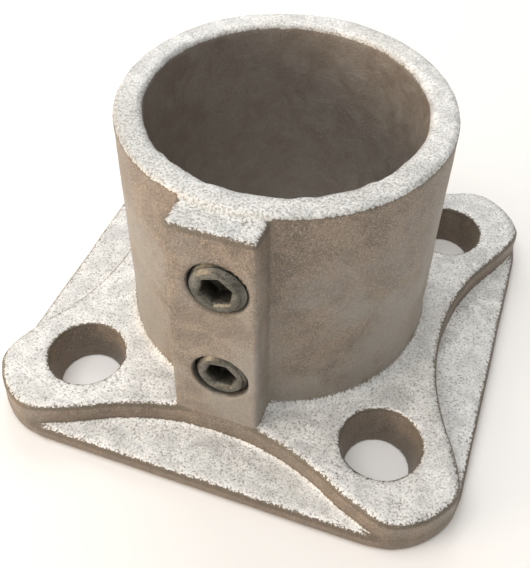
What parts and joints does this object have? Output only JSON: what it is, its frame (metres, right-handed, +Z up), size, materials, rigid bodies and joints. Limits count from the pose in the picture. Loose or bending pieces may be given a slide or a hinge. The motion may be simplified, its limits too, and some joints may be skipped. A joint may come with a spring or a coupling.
{
  "type": "stanchion base",
  "caption": "Square deck flange with thick corner bolt pads, thin scalloped sides, an upright round tube socket and a front boss with set screws that grip the tube.",
  "frame": {"origin": "centre of the plate's flat underside, on the socket's axis", "axes": "+Z up along the socket's axis; the boss with the set screws faces -Y; +X to the right of someone who looks at the boss"},
  "size_m": [0.091, 0.091, 0.0552],
  "materials": {
    "galvanised_iron": "rough sand casting, hot-dip galvanised, dull and speckled",
    "zinc_plated_steel": "zinc plated, satin"
  },
  "bodies": {
    "base": {"base_casting": "galvanised_iron"},
    "upper_screw": {"upper_set_screw": "zinc_plated_steel"},
    "lower_screw": {"lower_set_screw": "zinc_plated_steel"}
  },
  "joints": [
    {"name": "upper_screw_travel", "type": "slide", "parent": "base", "child": "upper_screw", "axis": [0, 1, 0], "range_m": [-0.0042, 0.003]},
    {"name": "lower_screw_travel", "type": "slide", "parent": "base", "child": "lower_screw", "axis": [0, 1, 0], "range_m": [-0.0051, 0.0023]}
  ]
}
